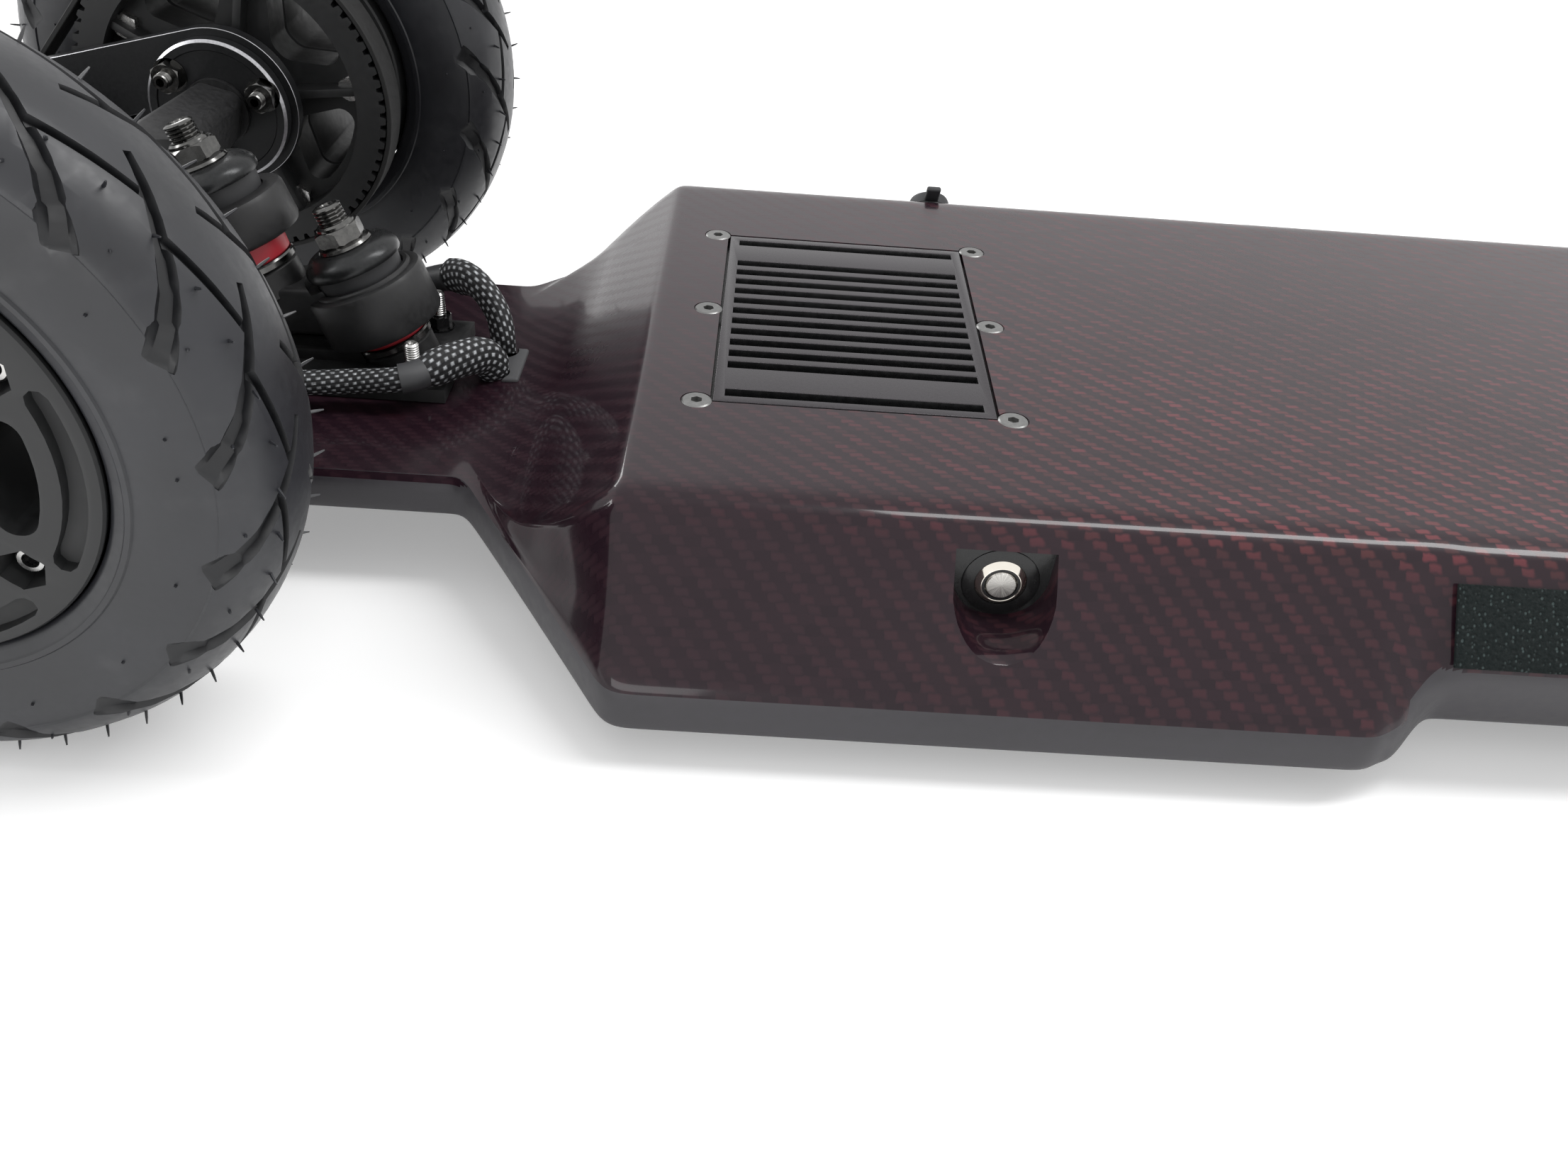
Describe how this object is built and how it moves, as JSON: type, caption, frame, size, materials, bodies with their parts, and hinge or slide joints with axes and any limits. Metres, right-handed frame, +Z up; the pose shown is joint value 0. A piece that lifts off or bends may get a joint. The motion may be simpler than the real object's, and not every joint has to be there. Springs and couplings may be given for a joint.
{
  "type": "electric mountainboard",
  "caption": "Electric mountainboard lying upside down on its tyres: one-piece shell deck with battery bay, double-kingpin trucks, pneumatic wheels and twin belt-driven motors.",
  "frame": {"origin": "on the ground under the middle of the board, which lies upside down on its four tyres as pictured", "axes": "+X along the board from the driven truck to the free one, +Y across it, +Z up, which is the board's underside"},
  "size_m": [1.243, 0.3582, 0.2],
  "materials": {
    "carbon_shell": "clear-coated carbon twill, dark aubergine",
    "grip": "matt gritty",
    "battery_wrap": "shrink wrap",
    "black_anodised": "satin black anodised",
    "black_steel": "black chrome",
    "bright_steel": "brushed",
    "loop_tape": "matt loop pile",
    "black_plastic": "satin",
    "black_rubber": "matt",
    "red_rubber": "satin polyurethane",
    "tyre": "matt",
    "braid": "braided sleeve with light flecks"
  },
  "bodies": {
    "deck": {"deck_shell": "carbon_shell", "deck_lid": "carbon_shell", "grip_sheet": "grip", "battery_pack": "battery_wrap", "speed_controller": "black_plastic", "heat_sink": "black_anodised", "hook_strip_near": "loop_tape", "hook_strip_far": "loop_tape", "power_button_body": "bright_steel", "charge_socket": "black_plastic", "near_cable_inner": "braid", "far_cable_inner": "braid", "baseplate_drive": "black_anodised", "inner_kingpin_drive": "black_steel", "inner_top_bushing_drive": "black_rubber", "inner_low_bushing_drive": "red_rubber", "baseplate_free": "black_anodised", "inner_kingpin_free": "black_steel", "inner_top_bushing_free": "black_rubber", "inner_low_bushing_free": "red_rubber"},
    "power_button_cap": {"power_button_cap": "bright_steel"},
    "charge_cap": {"charge_cap": "black_rubber"},
    "link_drive": {"link_drive": "black_anodised", "outer_kingpin_drive": "black_steel", "outer_top_bushing_drive": "black_rubber", "outer_low_bushing_drive": "red_rubber"},
    "hanger_drive": {"hanger_drive": "black_anodised", "axle_drive": "bright_steel", "motor_mount_near": "black_anodised", "motor_base_near": "black_anodised", "drive_belt_near": "black_rubber", "near_cable_outer": "braid", "motor_mount_far": "black_anodised", "motor_base_far": "black_anodised", "drive_belt_far": "black_rubber", "far_cable_outer": "braid"},
    "wheel_drive_near": {"tyre_drive_near": "tyre", "hub_drive_near": "black_plastic", "wheel_bearings_drive_near": "bright_steel", "wheel_pulley_near": "black_plastic"},
    "wheel_drive_far": {"tyre_drive_far": "tyre", "hub_drive_far": "black_plastic", "wheel_bearings_drive_far": "bright_steel", "wheel_pulley_far": "black_plastic"},
    "link_free": {"link_free": "black_anodised", "outer_kingpin_free": "black_steel", "outer_top_bushing_free": "black_rubber", "outer_low_bushing_free": "red_rubber"},
    "hanger_free": {"hanger_free": "black_anodised", "axle_free": "bright_steel"},
    "wheel_free_near": {"tyre_free_near": "tyre", "hub_free_near": "black_plastic", "wheel_bearings_free_near": "bright_steel"},
    "wheel_free_far": {"tyre_free_far": "tyre", "hub_free_far": "black_plastic", "wheel_bearings_free_far": "bright_steel"},
    "motor_rotor_near": {"motor_can_near": "black_anodised", "motor_pulley_near": "bright_steel"},
    "motor_rotor_far": {"motor_can_far": "black_anodised", "motor_pulley_far": "bright_steel"}
  },
  "joints": [
    {"name": "drive_inner_lean", "type": "hinge", "parent": "deck", "child": "link_drive", "pos_m": [-0.43912, 0, 0.06392], "axis": [0.9547, 0, 0.2974], "range_deg": [-10, 10], "stiffness_Nm_per_rad": 60, "deforming": ["inner_top_bushing_drive", "inner_low_bushing_drive", "near_cable_inner", "far_cable_inner"]},
    {"name": "drive_outer_lean", "type": "hinge", "parent": "link_drive", "child": "hanger_drive", "pos_m": [-0.48424, 0, 0.09069], "axis": [0.766, 0, 0.6428], "range_deg": [-10, 10], "stiffness_Nm_per_rad": 60, "deforming": ["outer_top_bushing_drive", "outer_low_bushing_drive", "near_cable_outer", "far_cable_outer"]},
    {"name": "drive_near_wheel_spin", "type": "hinge", "parent": "hanger_drive", "child": "wheel_drive_near", "pos_m": [-0.515, -0.1491, 0.1], "axis": [0, 1, 0], "continuous": true},
    {"name": "drive_far_wheel_spin", "type": "hinge", "parent": "hanger_drive", "child": "wheel_drive_far", "pos_m": [-0.515, 0.1491, 0.1], "axis": [0, 1, 0], "continuous": true},
    {"name": "free_inner_lean", "type": "hinge", "parent": "deck", "child": "link_free", "pos_m": [0.43912, 0, 0.06392], "axis": [-0.9547, 0, 0.2974], "range_deg": [-10, 10], "stiffness_Nm_per_rad": 60, "deforming": ["inner_top_bushing_free", "inner_low_bushing_free"]},
    {"name": "free_outer_lean", "type": "hinge", "parent": "link_free", "child": "hanger_free", "pos_m": [0.48424, 0, 0.09069], "axis": [-0.766, 0, 0.6428], "range_deg": [-10, 10], "stiffness_Nm_per_rad": 60, "deforming": ["outer_top_bushing_free", "outer_low_bushing_free"]},
    {"name": "free_near_wheel_spin", "type": "hinge", "parent": "hanger_free", "child": "wheel_free_near", "pos_m": [0.515, -0.1491, 0.1], "axis": [0, 1, 0], "continuous": true},
    {"name": "free_far_wheel_spin", "type": "hinge", "parent": "hanger_free", "child": "wheel_free_far", "pos_m": [0.515, 0.1491, 0.1], "axis": [0, 1, 0], "continuous": true},
    {"name": "near_motor_spin", "type": "hinge", "parent": "hanger_drive", "child": "motor_rotor_near", "pos_m": [-0.59625, -0.05, 0.07868], "axis": [0, 1, 0], "continuous": true},
    {"name": "far_motor_spin", "type": "hinge", "parent": "hanger_drive", "child": "motor_rotor_far", "pos_m": [-0.59625, 0.05, 0.07868], "axis": [0, 1, 0], "continuous": true},
    {"name": "power_button_press", "type": "slide", "parent": "deck", "child": "power_button_cap", "axis": [0, 1, 0], "range_m": [0, 0.0015], "stiffness_N_per_m": 800},
    {"name": "charge_cap_hinge", "type": "hinge", "parent": "deck", "child": "charge_cap", "pos_m": [-0.2335, 0.13815, 0.05283], "axis": [-1, 0, 0], "range_deg": [0, 100]}
  ],
  "couplings": [
    {"joint": "drive_outer_lean", "follows": "drive_inner_lean", "ratio": 1},
    {"joint": "free_outer_lean", "follows": "free_inner_lean", "ratio": 1},
    {"joint": "near_motor_spin", "follows": "drive_near_wheel_spin", "ratio": 4.75},
    {"joint": "far_motor_spin", "follows": "drive_far_wheel_spin", "ratio": 4.75}
  ]
}
